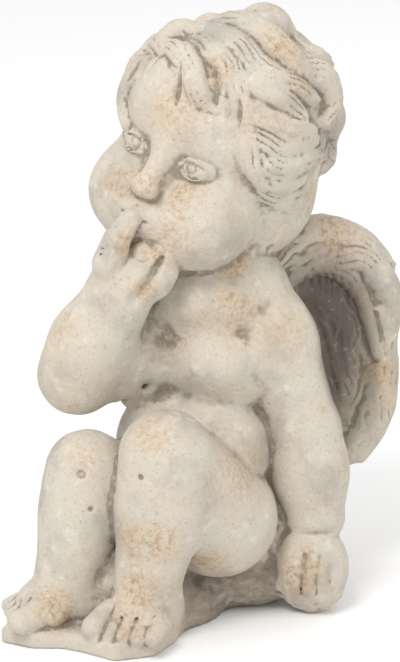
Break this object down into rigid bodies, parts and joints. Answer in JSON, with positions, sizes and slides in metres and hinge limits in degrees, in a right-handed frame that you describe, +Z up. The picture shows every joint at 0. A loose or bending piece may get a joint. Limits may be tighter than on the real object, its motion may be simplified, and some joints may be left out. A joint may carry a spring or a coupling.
{
  "type": "cast stone putto statue",
  "caption": "Seated winged child in weathered cast stone, knees up, one hand raised to the mouth and the other fist on the ground beside a rough rock.",
  "frame": {"origin": "middle of the statue's bounding box, on the ground it stands on", "axes": "+Z up, -Y the way the figure's body faces, +X the figure's left"},
  "size_m": [0.138, 0.2048, 0.3],
  "materials": {
    "cast_stone": "weathered matte"
  },
  "bodies": {
    "root": {"putto": "cast_stone"}
  },
  "joints": []
}
